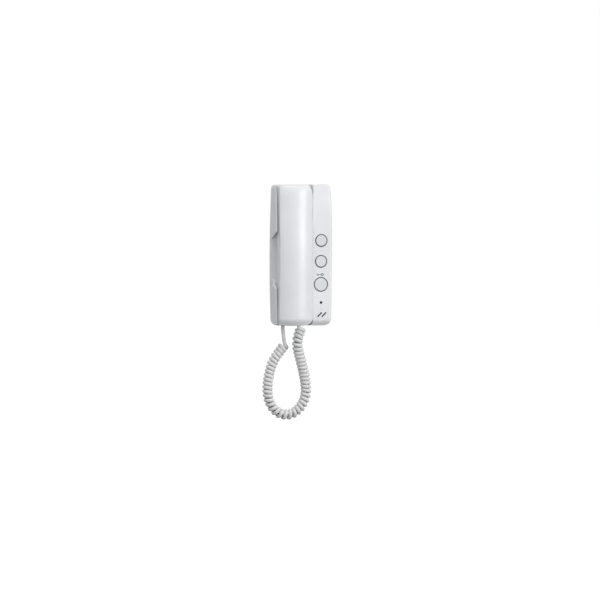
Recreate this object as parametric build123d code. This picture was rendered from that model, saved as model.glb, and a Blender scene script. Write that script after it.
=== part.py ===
"""A wall-mounted audio intercom station: a moulded base with a handset lying in its cradle,
three push buttons and a curly cord.

Lengths are in millimetres. X runs to the right seen from the front, the wall is the plane Y = 0,
the front looks towards -Y and Z is up. A depth is a distance in front of the wall. The origin is
the middle of the wall plate's back face.
"""

import os
from math import cos, pi, sin, sqrt, tan

from build123d import *

# Base housing
body_height = 190.0
body_head_width = 75.4
body_foot_width = 77.2
side_bulge = 2.1
panel_depth = 30.2
panel_dip = 3.0
top_corner = 5.0
bottom_corner = 8.5
edge_round = 3.2
wall = 2.2
rim_wall = 1.4
rim_depth = 29.0
wall_gap = 0.8
overrun = 6.0

# The panel's face from foot to head: height as a share of the body height, and share of the dip
panel_face_shares = [
    (-0.511, 3.6),
    (-0.5, 2.7),
    (-0.486, 1.72),
    (-0.474, 1.02),
    (-0.463, 0.72),
    (-0.445, 0.63),
    (-0.395, 0.6),
    (-0.237, 0.93),
    (-0.026, 0.73),
    (0.184, 0.07),
    (0.368, 0.0),
    (0.5, 0.9),
    (0.56, 1.4),
]

# The left rim's front edge from foot to head: height as a share of the body height, and depth as
# a share of the rim depth
rim_edge_shares = [
    (-0.56, 0.82),
    (-0.5, 0.84),
    (-0.4, 0.86),
    (-0.24, 0.9),
    (-0.1, 0.97),
    (0.17, 1.0),
    (0.32, 0.93),
    (0.42, 0.83),
    (0.47, 0.73),
    (0.5, 0.57),
    (0.52, 0.4),
]

# Handset
handset_width = 48.5
handset_foot_rise = 0.9
handset_depth = 42.5
handset_gap = 0.4
handset_head_gap = 0.8
handset_wall = 2.2
handset_waist = 3.8
handset_bulge = 1.6
handset_end_bow = 1.0
handset_split = 26.0
handset_edge_round = 2.0
corner_top_left = 4.0
corner_foot_left = 8.5
corner_foot_right = 10.5
cradle_corner = 8.0
cradle_foot_gap = 1.7
shoulder_width = 10.4
shoulder_height = 24.0
round_share = 0.55
front_fall = 7.0
left_fall = 7.5
right_fall = 11.0
pod_back = 12.6
grip_back = 21.0
grip_round = 6.0
ear_pod_height = 51.0
mouth_pod_height = 52.1
pod_slope = 10.0

# The handset's front from foot to head: height as a share of the handset's height from its
# middle, share of the front fall at the crown line, and share of the right edge's fall
crown_shares = [
    (-0.512, 1.75, 0.93),
    (-0.5, 1.42, 0.93),
    (-0.486, 1.03, 0.94),
    (-0.474, 0.72, 0.95),
    (-0.463, 0.56, 0.96),
    (-0.445, 0.49, 0.97),
    (-0.397, 0.43, 0.99),
    (-0.237, 0.26, 0.98),
    (0.103, 0.0, 1.02),
    (0.369, 0.27, 0.94),
    (0.497, 0.89, 0.76),
    (0.56, 1.35, 0.7),
]

# Cradle
seat_gap = 0.4
hump_depth = 17.0
ledge_slope = 5.6
waist_gap = 0.4

# Finger scoop in the left wall, its floor rising inwards
scoop_below_ear = 12.0
scoop_below_mouth = 5.0
scoop_depth = 8.0
scoop_inner_depth = 14.0
scoop_reach = 14.0
scoop_ramp = 16.0
scoop_brow = 10.0
scoop_round = 4.0

# Push buttons
button_x = 24.1
button_radius = 7.4
door_button_radius = 8.7
call_button_pitch = 28.1
aux_button_pitch = 31.1
door_button_pitch = 24.4
button_gap = 0.8
button_stop_gap = 0.4
button_rise = 0.6
button_edge = 0.6
button_flange = 1.2
button_flange_lip = 1.7
button_cap = 1.6
button_skirt = 1.2
button_travel = 1.0
button_stem_radius = 2.4
switch_play = 0.2

# Indicator and sounder slots
indicator_pitch = 16.4
indicator_radius = 1.3
indicator_gap = 0.1
indicator_body = 1.9
slot_x = 25.1
slot_rise = 14.7
slot_pitch = 6.0
slot_length = 8.8
slot_width = 1.9
slot_angle = 45.0
sounder_radius = 10.0
sounder_height = 7.0
sounder_rib = 1.0
sounder_gap = 0.3

# Wall plate
plate_thickness = 2.5
plate_gap = 0.3
screw_spacing = 83.5
wall_slot_width = 4.4
wall_slot_length = 8.4
window_width = 26.0
window_height = 24.0
window_x = 13.0
window_z = 22.0
window_corner = 2.0
window_gap = 1.0
plate_rib = 1.2
plate_rib_height = 1.4
plate_rib_inset = 3.0
standoff_radius = 3.2
lug_width = 9.0
lug_height = 6.0
lug_depth = 9.4

# Circuit boards
board_thickness = 1.6
main_board_back = 5.2
main_board_width = 61.0
main_board_head_room = 13.0
main_board_foot_room = 45.0
main_board_corner = 2.0
board_screw_inset = 4.0
button_board_back = 15.0
button_board_width = 17.6
button_board_end = 4.5
button_board_foot_end = 3.6
upper_boss_rise = 13.3
lower_boss_rise = 9.9
boss_radius = 3.0

# Machine screws of the boards, the handset and the housing
screw_radius = 1.25
screw_head_radius = 2.4
screw_head_height = 1.4
screw_length = 6.5
screw_gap = 0.05
drive_width = 0.7
drive_depth = 0.6
handset_screw_length = 15.0
ear_screw_rise = 4.0
mouth_screw_drop = 10.0
handset_boss_radius = 3.6
housing_screw_x = 20.0
housing_screw_depth = 6.2
housing_screw_length = 9.0
housing_screw_sink = 0.3
housing_pad_radius = 3.4
housing_pad_height = 1.6

# Terminal block
terminal_count = 6
terminal_pitch = 5.0
terminal_x = -4.0
terminal_rise = 13.0
terminal_height = 7.6
terminal_length = 10.0
terminal_well = 1.9
terminal_screw_radius = 1.7
terminal_screw_height = 2.4
terminal_well_depth = 4.4
terminal_entry = 1.4

# Push switches under the buttons
switch_width = 6.0
switch_height = 3.5
plunger_radius = 1.7
plunger_height = 1.3

# Hook lever, its pin and its switch
lever_x = -12.0
lever_width = 6.0
lever_side_gap = 0.4
pin_radius = 1.0
pin_gap = 0.05
pivot_depth = 11.0
pivot_drop = 20.5
pivot_boss = 2.6
cheek_width = 2.0
cheek_length = 8.0
arm_back = 9.4
arm_thickness = 2.0
nose_drop = 17.5
nose_length = 5.0
nose_gap = 0.3
tail_back = 12.3
tail_thickness = 1.9
tail_length = 12.0
lever_slot_drop = 6.0
lever_slot_rise = 5.0
lever_slot_gap = 1.0
hook_switch_width = 6.4
hook_switch_length = 8.0
hook_switch_height = 3.2
hook_plunger_radius = 1.1
hook_plunger_height = 0.4

# Receiver and microphone
receiver_drop = 26.0
receiver_radius = 15.2
receiver_rim = 3.0
receiver_magnet_radius = 9.5
receiver_height = 8.5
receiver_rib = 1.2
receiver_rib_height = 4.0
receiver_gap = 0.3
gasket_width = 3.0
gasket_height = 1.2
ear_hole_radius = 1.1
ear_hole_ring = 5.5
ear_hole_count = 6
ear_dish_radius = 14.0
ear_dish_depth = 0.8
microphone_rise = 14.1
microphone_radius = 4.8
microphone_height = 5.0
boot_radius = 6.6
boot_height = 8.0
boot_floor = 1.0
boot_port = 1.5
mouth_hole_radius = 0.9
mouth_hole_pitch = 3.6
mouth_hole_count = 3

# Cord
cord_diameter = 4.4
cord_sides = 6
coil_radius = 5.0
coil_gap = 0.85
base_exit_x = -23.4
base_exit_depth = 6.5
handset_exit_x = -6.6
handset_exit_drop = 16.5
bush_radius = 3.4
bush_gap = 0.1
bush_flange_width = 10.0
bush_flange_depth = 4.6
bush_flange = 1.6
cord_straight = 4.5
coil_step_share = 0.02

# Places that follow from the sizes
half_height = body_height / 2
half_head_width = body_head_width / 2
half_foot_width = body_foot_width / 2
handset_height = body_height - handset_foot_rise
handset_left = -half_head_width + rim_wall + handset_head_gap
handset_right = handset_left + handset_width
handset_x = handset_left + handset_width / 2
handset_top = half_height
handset_foot = handset_top - handset_height
handset_z = (handset_top + handset_foot) / 2
ear_pod_foot = handset_top - ear_pod_height
mouth_pod_head = handset_foot + mouth_pod_height
terminal_z = mouth_pod_head + terminal_rise
beyond = body_foot_width + handset_depth
cradle_back = pod_back - seat_gap
cradle_right = handset_right + handset_gap
main_board_front = main_board_back + board_thickness
button_board_front = button_board_back + board_thickness
button_board_x = cradle_right + wall + button_board_width / 2 + wall_gap
switch_front = button_board_front + switch_height + plunger_height
slot_z = -half_height + slot_rise
indicator_z = slot_z + indicator_pitch
door_button_z = indicator_z + door_button_pitch
aux_button_z = door_button_z + aux_button_pitch
call_button_z = aux_button_z + call_button_pitch
button_board_screw_zs = [call_button_z + upper_boss_rise, indicator_z + lower_boss_rise]
button_board_head = button_board_screw_zs[0] + button_board_end
button_board_foot = indicator_z - button_board_foot_end
main_board_height = body_height - main_board_head_room - main_board_foot_room
main_board_z = (main_board_foot_room - main_board_head_room) / 2
nose_z = ear_pod_foot - nose_drop
pivot_z = nose_z - pivot_drop
receiver_z = handset_top - receiver_drop
microphone_z = handset_foot + microphone_rise
handset_screw_zs = [ear_pod_foot + ear_screw_rise, mouth_pod_head - mouth_screw_drop]
handset_floor = pod_back + handset_wall
handset_exit_depth = handset_depth - handset_exit_drop
handset_exit_z = handset_foot - handset_end_bow
housing_screw_z = -half_height + screw_head_height + housing_screw_sink
housing_well_radius = screw_head_radius + housing_screw_sink


def prism(face, back, front):
    """Solid of a front-view outline, from one depth in front of the wall to another."""
    return extrude(Plane.XZ.offset(back) * face, amount=front - back)


def side_prism(face, left, right):
    """Solid of a side view, drawn as (depth, height), from one X to another."""
    side = Plane(origin=(right, 0, 0), x_dir=(0, -1, 0), z_dir=(-1, 0, 0))
    return extrude(side * face, amount=right - left)


def level_prism(face, low, high):
    """Solid of a view from above, drawn as (X, Y), from one height to another."""
    return extrude(Plane.XY.offset(low) * face, amount=high - low)


def disc(x, z, radius):
    return Pos(x, z) * Circle(radius)


def round_corner(face, x, z, radius):
    """Rounds the corner of an outline that lies nearest to a point."""
    corner = face.vertices().sort_by_distance((x, z, 0))[0]
    return fillet(corner, radius)


def barrel_outline(inset):
    """The base seen from the front, its sides bowed outwards, drawn in by inset."""
    head, foot = half_head_width - inset, half_foot_width - inset
    top = half_height - inset
    middle = (head + foot) / 2 + side_bulge
    left = ThreePointArc((-foot, -top), (-middle, 0), (-head, top))
    right = ThreePointArc((head, top), (middle, 0), (foot, -top))
    face = make_face(left + Line(left @ 1, right @ 0) + right + Line(right @ 1, left @ 0))
    for side in (-1, 1):
        face = round_corner(face, side * head, top, max(top_corner - inset, rim_wall / 2))
        face = round_corner(face, side * foot, -top, bottom_corner - inset)
    return face


def panel_space(drop):
    """Everything behind the panel's curved face, less drop."""
    points = [
        (panel_depth - panel_dip * dip - drop, body_height * height)
        for height, dip in panel_face_shares
    ]
    face_line = Spline(points)
    foot, head = points[0][1], points[-1][1]
    rest = Polyline(points[-1], (-overrun, head), (-overrun, foot), points[0])
    return side_prism(make_face(face_line + rest), -beyond, beyond)


def waist_inset(z):
    """How far the handset's right side is drawn in at a height."""
    half = handset_height / 2
    radius = (half * half + handset_waist * handset_waist) / (2 * handset_waist)
    return handset_waist - radius + sqrt(radius * radius - (z - handset_z) ** 2)


def handset_outline(grow):
    """The handset seen from the front, grown by grow, with a tall round at its top right."""
    left, right = handset_left - grow, handset_right + grow
    top, foot = handset_top + grow, handset_foot - grow
    high = top - shoulder_height - grow
    side = ThreePointArc(
        (right, foot), (right - handset_waist, handset_z), (right - waist_inset(high), high)
    )
    across, up = shoulder_width + grow, (shoulder_height + grow) * round_share
    shoulder = Bezier(
        side @ 1,
        side @ 1 + (side % 1) * up,
        (right - across * (1 - round_share), top),
        (right - across, top),
    )
    back = ThreePointArc((left, top), (left - handset_bulge, handset_z), (left, foot))
    end = ThreePointArc((left, foot), (handset_x, foot - handset_end_bow), (right, foot))
    face = make_face(side + shoulder + Line(shoulder @ 1, back @ 0) + back + end)
    face = round_corner(face, left, top, corner_top_left + grow)
    face = round_corner(face, right, foot, corner_foot_right + grow)
    return round_corner(face, left, foot, corner_foot_left + grow)


def cradle_outline(grow):
    """The recess seen from the front: it follows the handset's sides and is open at the top."""
    left, right = handset_left - handset_gap - grow, cradle_right + grow
    left_head = handset_left - handset_head_gap - grow
    foot, head = handset_foot - cradle_foot_gap - grow, half_height + overrun
    waist = handset_waist - waist_gap
    back = ThreePointArc((left_head, handset_top), (left - handset_bulge, handset_z), (left, foot))
    end = ThreePointArc((left, foot), (handset_x, foot - handset_end_bow), (right, foot))
    side = ThreePointArc((right, foot), (right - waist, handset_z), (right, handset_top))
    rest = Polyline((right, handset_top), (right, head), (left_head, head), (left_head, handset_top))
    face = make_face(back + end + side + rest)
    return round_corner(face, right, foot, cradle_corner + grow)


def crown_space(drop):
    """Everything behind the handset's crowned front, less drop."""
    left, right = handset_left - handset_gap, handset_right + handset_gap
    sections = []
    for height, fall, right_share in crown_shares:
        crown = handset_depth - front_fall * fall - drop
        left_edge, right_edge = crown - left_fall, crown - right_fall * right_share
        arc = ThreePointArc((left, -left_edge), (handset_x, -crown), (right, -right_edge))
        rest = Polyline((right, -right_edge), (right, 0), (left, 0), (left, -left_edge))
        height_plane = Plane.XY.offset(handset_z + handset_height * height)
        sections.append(height_plane * make_face(arc + rest))
    return loft(sections)


def rear_space(inset):
    """Everything in front of the handset's back, with its two pods and the hollow of the grip."""
    pod, grip = pod_back + inset, grip_back + inset
    head, foot = handset_top + overrun, handset_foot - overrun
    ear, mouth = ear_pod_foot + inset / 2, mouth_pod_head - inset / 2
    face = make_face(
        Polyline(
            (pod, head),
            (pod, ear),
            (grip, ear - pod_slope),
            (grip, mouth + pod_slope),
            (pod, mouth),
            (pod, foot),
            (beyond, foot),
            (beyond, head),
            close=True,
        )
    )
    for depth, z in ((pod, ear), (grip, ear - pod_slope), (grip, mouth + pod_slope), (pod, mouth)):
        face = round_corner(face, depth, z, grip_round)
    return side_prism(face, -beyond, beyond)


def handset_body(inset):
    """The whole handset as one solid, drawn in by inset all round."""
    return prism(handset_outline(-inset), 0, beyond) & crown_space(inset) & rear_space(inset)


def cradle_space(grow):
    """The recess that the handset lies in, open to the front and at both ends."""
    floor, hump = cradle_back - grow, hump_depth - grow
    head, foot = half_height + overrun, -half_height - overrun
    ear = ear_pod_foot - seat_gap
    mouth = mouth_pod_head + seat_gap
    face = make_face(
        Polyline(
            (floor, head),
            (floor, ear),
            (hump, ear - ledge_slope),
            (hump, mouth + ledge_slope),
            (floor, mouth),
            (floor, foot),
            (beyond, foot),
            (beyond, head),
            close=True,
        )
    )
    return prism(cradle_outline(grow), 0, beyond) & side_prism(face, -beyond, beyond)


def scoop_space(grow):
    """The scoop in the left wall that lets the fingers reach behind the handset."""
    floor = scoop_depth - grow
    head = ear_pod_foot - scoop_below_ear + grow
    foot = mouth_pod_head - scoop_below_mouth - grow
    face = make_face(
        Polyline(
            (rim_depth + overrun, head),
            (rim_depth, head),
            (floor, head - scoop_brow),
            (floor, foot + scoop_ramp),
            (rim_depth, foot),
            (rim_depth + overrun, foot),
            close=True,
        )
    )
    face = round_corner(face, floor, head - scoop_brow, scoop_round)
    left, right = -half_foot_width - side_bulge, handset_left + scoop_reach + grow
    rising = make_face(
        Polyline(
            (left, -floor),
            (right, grow - scoop_inner_depth),
            (right, -beyond),
            (-beyond, -beyond),
            (-beyond, -floor),
            close=True,
        )
    )
    return side_prism(face, -beyond, right) & level_prism(rising, -beyond, beyond)


def rim_cut():
    """What is cleared in front of the left rim, whose edge changes in depth along its height."""
    points = [(rim_depth * depth, body_height * height) for height, depth in rim_edge_shares]
    foot, head = points[0][1], points[-1][1]
    rest = Polyline(points[-1], (beyond, head), (beyond, foot), points[0])
    return side_prism(make_face(Spline(points) + rest), -beyond, handset_x)


def screw(length, radius=screw_radius, head=screw_head_radius):
    """A slotted screw whose head stands on the plane Z = 0 and whose shank runs down."""
    shank = Pos(0, 0, -length / 2) * Cylinder(radius, length)
    cap = Pos(0, 0, screw_head_height / 2) * Cylinder(head, screw_head_height)
    cap = fillet(cap.edges().sort_by(Axis.Z)[-1], screw_head_height / 3)
    drive = Pos(0, 0, screw_head_height) * Box(head * 3, drive_width, drive_depth * 2)
    return shank + cap - drive


def forward_screw(x, z, seat, length):
    """A screw put in from the front: its head stands on the depth seat."""
    return Plane(origin=(x, -seat, z), x_dir=(1, 0, 0), z_dir=(0, -1, 0)) * screw(length)


def backward_screw(x, z, seat, length):
    """A screw put in from behind: its head stands on the depth seat, towards the wall."""
    return Plane(origin=(x, -seat, z), x_dir=(1, 0, 0), z_dir=(0, 1, 0)) * screw(length)


def panel_face_at(z):
    """Depth of the panel's face at a height."""
    probe = Pos(button_x, 0, z) * Box(wall, beyond * 2, wall / 10)
    return -(panel_space(0) & probe).bounding_box().min.Y


def lowest_panel_face(z, reach):
    """The least depth of the panel's face over a round piece behind it."""
    return min(panel_face_at(z + side * reach) for side in (-1, 0, 1))


def main_board_screw_places():
    x = main_board_width / 2 - board_screw_inset
    z = main_board_height / 2 - board_screw_inset
    return [(side * x, main_board_z + end * z) for side in (-1, 1) for end in (-1, 1)]


def bush_hole(x, depth, low, high):
    return level_prism(Pos(x, -depth) * Circle(bush_radius + bush_gap), low, high)


def wall_plate():
    plate = prism(barrel_outline(wall + plate_gap), 0, plate_thickness)
    rim = barrel_outline(wall + plate_rib_inset) - barrel_outline(wall + plate_rib_inset + plate_rib)
    rib = prism(rim, plate_thickness, plate_thickness + plate_rib_height)
    gate = Pos(base_exit_x, -half_height + wall + plate_rib_inset)
    rib -= prism(gate * Rectangle(bush_flange_width * 2, overrun), plate_thickness, main_board_back)
    plate += rib
    window = RectangleRounded(window_width, window_height, window_corner)
    window = Pos(window_x, window_z) * window
    plate -= prism(window, -overrun, overrun)
    for end in (-1, 1):
        slot = Pos(0, end * screw_spacing / 2) * SlotOverall(wall_slot_length, wall_slot_width, 90)
        plate -= prism(slot, -overrun, overrun)
    for x, z in main_board_screw_places():
        plate += prism(disc(x, z, standoff_radius), plate_thickness, main_board_back)
        hole = disc(x, z, screw_radius + screw_gap)
        plate -= prism(hole, main_board_front - screw_length - screw_gap, main_board_back)
    lug_foot = -half_height + wall + housing_pad_height + plate_gap
    lug = Pos(housing_screw_x, lug_foot + lug_height / 2) * Rectangle(lug_width, lug_height)
    plate += prism(lug, plate_thickness, lug_depth)
    pilot = Pos(housing_screw_x, -housing_screw_depth) * Circle(screw_radius + screw_gap)
    plate -= level_prism(pilot, -half_height, lug_foot + lug_height + overrun)
    return plate


def front_housing():
    shell = prism(barrel_outline(0), wall_gap, beyond) & panel_space(0)
    front = shell.faces().sort_by(Axis.Y)[0]
    shell = fillet(front.edges(), edge_round)
    inside = prism(barrel_outline(wall), 0, beyond) & panel_space(wall)
    inside -= cradle_space(wall)
    inside -= scoop_space(wall)
    housing = shell - inside - cradle_space(0) - scoop_space(0) - rim_cut()
    for z, radius in button_places():
        housing -= prism(disc(button_x, z, radius + button_gap), button_board_front, beyond)
    housing += button_bosses()
    housing += sounder_rib_ring()
    for step in (-1, 1):
        slot = Pos(slot_x + step * slot_pitch / 2, slot_z)
        slot = slot * SlotOverall(slot_length, slot_width, slot_angle)
        housing -= prism(slot, button_board_back, beyond)
    hole = disc(button_x, indicator_z, indicator_radius + indicator_gap)
    housing -= prism(hole, button_board_front, beyond)
    housing += lever_cheeks()
    lever_slot = Pos(lever_x, nose_z + (lever_slot_rise - lever_slot_drop) / 2) * Rectangle(
        lever_width + lever_slot_gap * 2, lever_slot_rise + lever_slot_drop
    )
    housing -= prism(lever_slot, pivot_depth, beyond)
    housing -= bush_hole(base_exit_x, base_exit_depth, -half_height - overrun, -half_height + wall * 2)
    return housing_screw_seat(housing)


def housing_screw_seat(housing):
    """Adds the pad and the sunk hole of the screw that holds the housing to the wall plate."""
    place = Pos(housing_screw_x, -housing_screw_depth)
    pad_top = -half_height + wall + housing_pad_height
    below = -half_height - overrun
    housing += level_prism(place * Circle(housing_pad_radius), -half_height + wall / 2, pad_top)
    housing -= level_prism(place * Circle(screw_radius + screw_gap * 2), below, pad_top)
    return housing - level_prism(place * Circle(housing_well_radius), below, housing_screw_z)


def button_places():
    return [
        (call_button_z, button_radius),
        (aux_button_z, button_radius),
        (door_button_z, door_button_radius),
    ]


def button_bosses():
    """Posts behind the panel that carry the button board."""
    bosses = Part()
    for z in button_board_screw_zs:
        boss = prism(disc(button_board_x, z, boss_radius), button_board_front, beyond)
        boss &= panel_space(wall / 2)
        hole = disc(button_board_x, z, screw_radius + screw_gap)
        boss -= prism(hole, button_board_back, button_board_back + screw_length + screw_gap)
        bosses += boss
    return bosses


def sounder_rib_ring():
    inner = sounder_radius + sounder_gap
    ring = disc(slot_x, slot_z, inner + sounder_rib) - disc(slot_x, slot_z, inner)
    return prism(ring, sounder_front() - sounder_height / 2, beyond) & panel_space(wall / 2)


def lever_cheeks():
    """The two ears under the cradle's hump that hold the hook lever's pin."""
    cheeks = Part()
    for side in (-1, 1):
        x = lever_x + side * (lever_width / 2 + lever_side_gap + cheek_width / 2)
        ear = Pos(pivot_depth, pivot_z) * Circle(cheek_length / 2)
        strut = Pos((pivot_depth + hump_depth) / 2, pivot_z) * Rectangle(
            hump_depth - pivot_depth - wall / 2, cheek_length
        )
        cheek = side_prism(ear + strut, x - cheek_width / 2, x + cheek_width / 2)
        hole = Pos(pivot_depth, pivot_z) * Circle(pin_radius + pin_gap)
        cheeks += cheek - side_prism(hole, x - cheek_width, x + cheek_width)
    return cheeks & prism(barrel_outline(wall), main_board_front + wall_gap, hump_depth - wall / 2)


def main_board():
    """The board behind the cradle, open on the right where the wires come in by the window."""
    outline = Pos(0, main_board_z) * RectangleRounded(
        main_board_width, main_board_height, main_board_corner
    )
    notch_left = window_x - window_width / 2 - window_gap
    notch = Pos(notch_left + main_board_width / 2, window_z) * RectangleRounded(
        main_board_width, window_height + window_gap * 2, window_corner
    )
    board = prism(outline - notch, main_board_back, main_board_front)
    for x, z in main_board_screw_places():
        hole = disc(x, z, screw_radius + screw_gap)
        board -= prism(hole, main_board_back - overrun, main_board_front + overrun)
    return board


def button_board():
    height = button_board_head - button_board_foot
    outline = Pos(button_board_x, (button_board_head + button_board_foot) / 2) * RectangleRounded(
        button_board_width, height, main_board_corner
    )
    board = prism(outline, button_board_back, button_board_front)
    for z in button_board_screw_zs:
        hole = disc(button_board_x, z, screw_radius + screw_gap)
        board -= prism(hole, button_board_back - overrun, button_board_front + overrun)
    return board


def board_screws():
    screws = [
        forward_screw(x, z, main_board_front, screw_length) for x, z in main_board_screw_places()
    ]
    screws += [
        backward_screw(button_board_x, z, button_board_back, screw_length)
        for z in button_board_screw_zs
    ]
    return Compound(screws)


def housing_screw():
    place = Plane(
        origin=(housing_screw_x, -housing_screw_depth, housing_screw_z),
        x_dir=(1, 0, 0),
        z_dir=(0, 0, -1),
    )
    return place * screw(housing_screw_length)


def terminal_places():
    first = terminal_x - terminal_pitch * (terminal_count - 1) / 2
    return [first + terminal_pitch * step for step in range(terminal_count)]


def terminal_block():
    front = main_board_front + terminal_height
    width = terminal_pitch * terminal_count
    block = prism(
        Pos(terminal_x, terminal_z) * Rectangle(width, terminal_length), main_board_front, front
    )
    long_edges = block.edges().filter_by(Axis.X).sort_by(Axis.Y)[0:2]
    block = chamfer(long_edges, terminal_entry / 2)
    for x in terminal_places():
        block -= prism(disc(x, terminal_z, terminal_well), front - terminal_well_depth, front)
        entry = Pos(x, -main_board_front - terminal_height / 3) * Circle(terminal_entry)
        block -= level_prism(entry, terminal_z - terminal_length, terminal_z)
    return block


def terminal_screws():
    seat = main_board_front + terminal_height - terminal_well_depth
    screws = []
    for x in terminal_places():
        body = prism(disc(x, terminal_z, terminal_screw_radius), seat, seat + terminal_screw_height)
        slot = Pos(x, terminal_z) * Rectangle(terminal_screw_radius * 3, drive_width)
        top = seat + terminal_screw_height
        screws.append(body - prism(slot, top - drive_depth, top))
    return Compound(screws)


def button_switches():
    """One push switch under each button: a square body and its round plunger."""
    switches = []
    for z, _ in button_places():
        base = Pos(button_x, z) * RectangleRounded(switch_width, switch_width, drive_width)
        body = prism(base, button_board_front, button_board_front + switch_height)
        body += prism(disc(button_x, z, plunger_radius), button_board_front, switch_front)
        switches.append(body)
    return Compound(switches)


def push_button(z, radius):
    """A cap that follows the panel's face, its stop flange and the stem over its switch."""
    reach = radius + button_flange_lip
    stop = lowest_panel_face(z, reach) - wall - button_stop_gap
    cap = prism(disc(button_x, z, radius), stop - button_flange, beyond)
    cap &= panel_space(-button_rise)
    top = cap.faces().sort_by(Axis.Y)[0]
    cap = fillet(top.edges(), button_edge)
    cap += prism(disc(button_x, z, reach), stop - button_flange, stop)
    hollow = disc(button_x, z, radius - button_skirt)
    cap -= prism(hollow, stop - button_flange, stop + wall - button_cap + button_stop_gap)
    stem = disc(button_x, z, button_stem_radius)
    cap += prism(stem, switch_front + button_travel + switch_play, stop + wall - button_rise)
    return cap


def indicator_lens():
    """A light pipe from the button board to the panel's face."""
    face = panel_face_at(indicator_z)
    lens = prism(disc(button_x, indicator_z, indicator_radius), button_board_front, face)
    lens = fillet(lens.edges().sort_by(Axis.Y)[0], indicator_radius / 2)
    body = disc(button_x, indicator_z, indicator_body)
    return lens + prism(body, button_board_front, face - wall - indicator_gap)


def sounder_front():
    return lowest_panel_face(slot_z, sounder_radius) - wall - sounder_gap


def tone_sounder():
    front = sounder_front()
    body = prism(disc(slot_x, slot_z, sounder_radius), front - sounder_height, front)
    body = fillet(body.edges().sort_by(Axis.Y)[0:1], button_edge)
    port = disc(slot_x, slot_z, slot_width)
    body -= prism(port, front - sounder_height / 2, front + overrun)
    pins = Part()
    for side in (-1, 1):
        pin = disc(slot_x + side * sounder_radius / 2, slot_z, drive_width / 2)
        pins += prism(pin, front - sounder_height - wall, front - sounder_height / 2)
    return body + pins


def hook_lever():
    """The lever that the handset presses: pivot, arm with its nose, and tail over the switch."""
    tip = grip_back - nose_gap
    arm_front = arm_back + arm_thickness
    nose_head, nose_foot = nose_z + nose_length / 2, nose_z - nose_length / 2
    arm = Pos((arm_back + arm_front) / 2, (pivot_z + nose_head) / 2) * Rectangle(
        arm_thickness, nose_head - pivot_z
    )
    nose = Pos((arm_back + tip) / 2, nose_z) * RectangleRounded(
        tip - arm_back, nose_length, arm_thickness
    )
    foot = Pos((arm_back + arm_front) / 2, nose_z) * Rectangle(arm_thickness, nose_length)
    tail = Pos(tail_back + tail_thickness / 2, pivot_z - tail_length / 2) * Rectangle(
        tail_thickness, tail_length
    )
    boss = Pos(pivot_depth, pivot_z) * Circle(pivot_boss)
    hole = Pos(pivot_depth, pivot_z) * Circle(pin_radius + pin_gap)
    half = lever_width / 2
    profile = arm + nose + foot + tail + boss - hole
    return side_prism(profile, lever_x - half, lever_x + half)


def hook_pin():
    half = lever_width / 2 + lever_side_gap + cheek_width
    return side_prism(
        Pos(pivot_depth, pivot_z) * Circle(pin_radius), lever_x - half, lever_x + half
    )


def hook_switch():
    z = pivot_z - tail_length + hook_switch_length / 2
    base = Pos(lever_x, z) * Rectangle(hook_switch_width, hook_switch_length)
    front = main_board_front + hook_switch_height
    body = chamfer(prism(base, main_board_front, front).edges().filter_by(Axis.Y), drive_width)
    plunger = disc(lever_x, z, hook_plunger_radius)
    return body + prism(plunger, main_board_front, front + hook_plunger_height)


def cord_bush(x, depth, face, thickness):
    """A rubber bush in a bottom wall: a round neck flush with the outside and a flange inside."""
    flange_foot = face + thickness + bush_gap
    neck = level_prism(Pos(x, -depth) * Circle(bush_radius), face, flange_foot + bush_flange)
    plate = Pos(x, -depth) * RectangleRounded(bush_flange_width, bush_flange_depth, drive_width)
    return neck + level_prism(plate, flange_foot, flange_foot + bush_flange)


def handset_outer():
    """The whole handset, its front edges rounded."""
    body = handset_body(0)
    front = body.faces().sort_by(Axis.Y)[0]
    return fillet(front.edges(), handset_edge_round)


def handset_bosses(back, front):
    """The posts of the handset's screws, between two depths."""
    posts = Part()
    for z in handset_screw_zs:
        posts += prism(disc(handset_x, z, handset_boss_radius), back, front)
    return posts


def handset_front_shell(outer):
    shell = outer - handset_body(handset_wall)
    shell &= prism(handset_outline(overrun), handset_split, beyond)
    shell += handset_bosses(handset_split, beyond) & handset_body(handset_wall / 2)
    for z in handset_screw_zs:
        hole = disc(handset_x, z, screw_radius + screw_gap)
        shell -= prism(hole, 0, handset_screw_seat() + handset_screw_length + screw_gap)
    return shell - handset_cord_hole()


def handset_cord_hole():
    return bush_hole(
        handset_exit_x,
        handset_exit_depth,
        handset_exit_z - overrun,
        handset_exit_z + handset_wall * 2,
    )


def handset_rear_shell(outer):
    shell = outer - handset_body(handset_wall)
    shell &= prism(handset_outline(overrun), 0, handset_split)
    shell += handset_bosses(0, handset_split) & handset_body(handset_wall / 2)
    ring_inner = receiver_radius + receiver_gap
    ring = disc(handset_x, receiver_z, ring_inner + receiver_rib)
    ring -= disc(handset_x, receiver_z, ring_inner)
    shell += prism(ring, handset_floor - handset_wall / 2, handset_floor + receiver_rib_height)
    for z in handset_screw_zs:
        hole = disc(handset_x, z, screw_radius + screw_gap)
        shell -= prism(hole, 0, handset_split)
        well = disc(handset_x, z, screw_head_radius + screw_gap * 2)
        shell -= prism(well, 0, handset_screw_seat())
    shell -= prism(disc(handset_x, receiver_z, ear_hole_radius), 0, handset_floor)
    for hole in PolarLocations(ear_hole_ring, ear_hole_count):
        place = Pos(handset_x, receiver_z) * hole * Circle(ear_hole_radius)
        shell -= prism(place, 0, handset_floor)
    shell -= prism(disc(handset_x, receiver_z, ear_dish_radius), 0, pod_back + ear_dish_depth)
    for hole in GridLocations(mouth_hole_pitch, 0, mouth_hole_count, 1):
        place = Pos(handset_x, microphone_z) * hole * Circle(mouth_hole_radius)
        shell -= prism(place, 0, handset_floor)
    return shell - handset_cord_hole()


def handset_screw_seat():
    return handset_split - screw_length


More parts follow.
